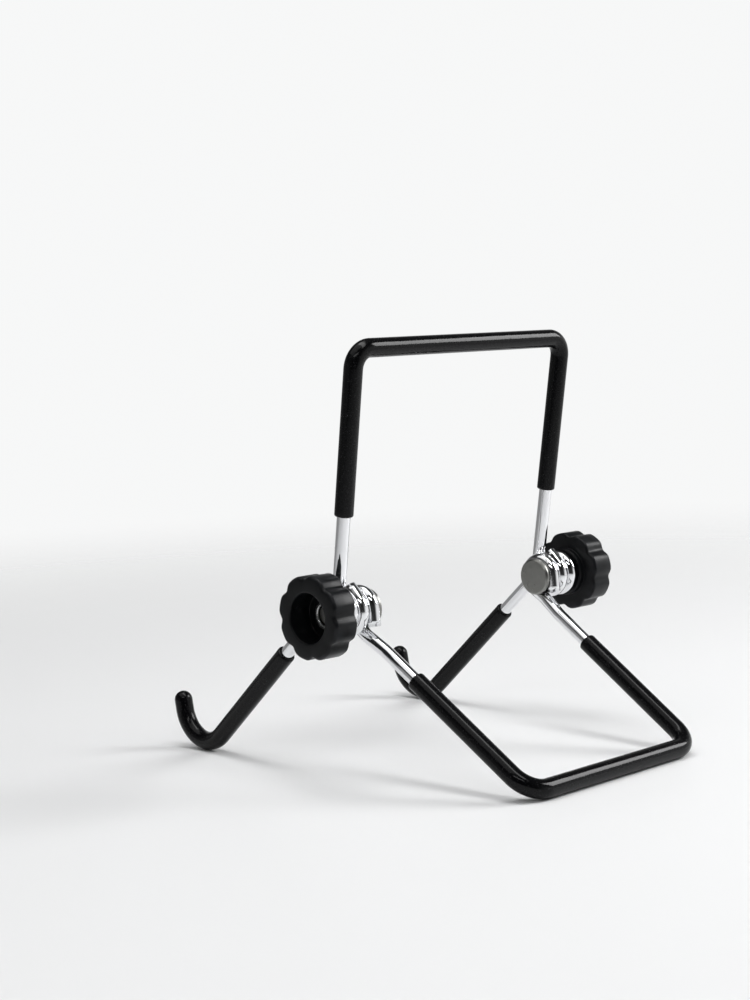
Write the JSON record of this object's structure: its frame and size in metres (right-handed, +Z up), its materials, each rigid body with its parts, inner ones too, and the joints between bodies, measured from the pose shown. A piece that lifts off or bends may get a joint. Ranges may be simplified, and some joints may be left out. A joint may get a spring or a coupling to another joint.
{
  "type": "folding phone and tablet stand",
  "caption": "Folding stand of bent chromed wire in black sleeves: a back rest, a rear leg and hooked feet turn on one axis and are clamped by lobed hand knobs.",
  "frame": {"origin": "on the table under the centre of the bounding box", "axes": "+X to the user's right, +Y away from the user towards the rear leg, +Z up; the hooks are at -Y"},
  "size_m": [0.106, 0.1216, 0.1105],
  "materials": {
    "chromed_wire": "bright polished plating on bent wire",
    "black_sleeve": "glossy soft sleeve with a grey sheen and light scuffs",
    "bolt_steel": "satin grey head with a bright edge",
    "knob_plastic": "moulded black with a low satin sheen",
    "insert_steel": "plated, bright"
  },
  "bodies": {
    "rear_leg": {"rear_leg_wire": "chromed_wire", "rear_leg_sleeve": "black_sleeve", "left_bolt": "bolt_steel", "right_bolt": "bolt_steel"},
    "back_rest": {"back_rest_wire": "chromed_wire", "back_rest_sleeve": "black_sleeve"},
    "left_foot": {"left_foot_wire": "chromed_wire", "left_foot_sleeve": "black_sleeve"},
    "right_foot": {"right_foot_wire": "chromed_wire", "right_foot_sleeve": "black_sleeve"},
    "left_knob": {"left_knob": "knob_plastic", "left_knob_insert": "insert_steel"},
    "right_knob": {"right_knob": "knob_plastic", "right_knob_insert": "insert_steel"}
  },
  "joints": [
    {"name": "back_rest_tilt", "type": "hinge", "parent": "rear_leg", "child": "back_rest", "pos_m": [0, 0.00593, 0.04238], "axis": [1, 0, 0], "range_deg": [-114, 35]},
    {"name": "left_foot_swing", "type": "hinge", "parent": "rear_leg", "child": "left_foot", "pos_m": [0, 0.00593, 0.04238], "axis": [1, 0, 0], "range_deg": [-45, 104]},
    {"name": "right_foot_swing", "type": "hinge", "parent": "rear_leg", "child": "right_foot", "pos_m": [0, 0.00593, 0.04238], "axis": [1, 0, 0], "range_deg": [-45, 104]},
    {"name": "left_knob_turn", "type": "hinge", "parent": "rear_leg", "child": "left_knob", "pos_m": [0, 0.00593, 0.04238], "axis": [-1, 0, 0], "range_deg": [0, 720]},
    {"name": "right_knob_turn", "type": "hinge", "parent": "rear_leg", "child": "right_knob", "pos_m": [0, 0.00593, 0.04238], "axis": [1, 0, 0], "range_deg": [0, 720]}
  ]
}
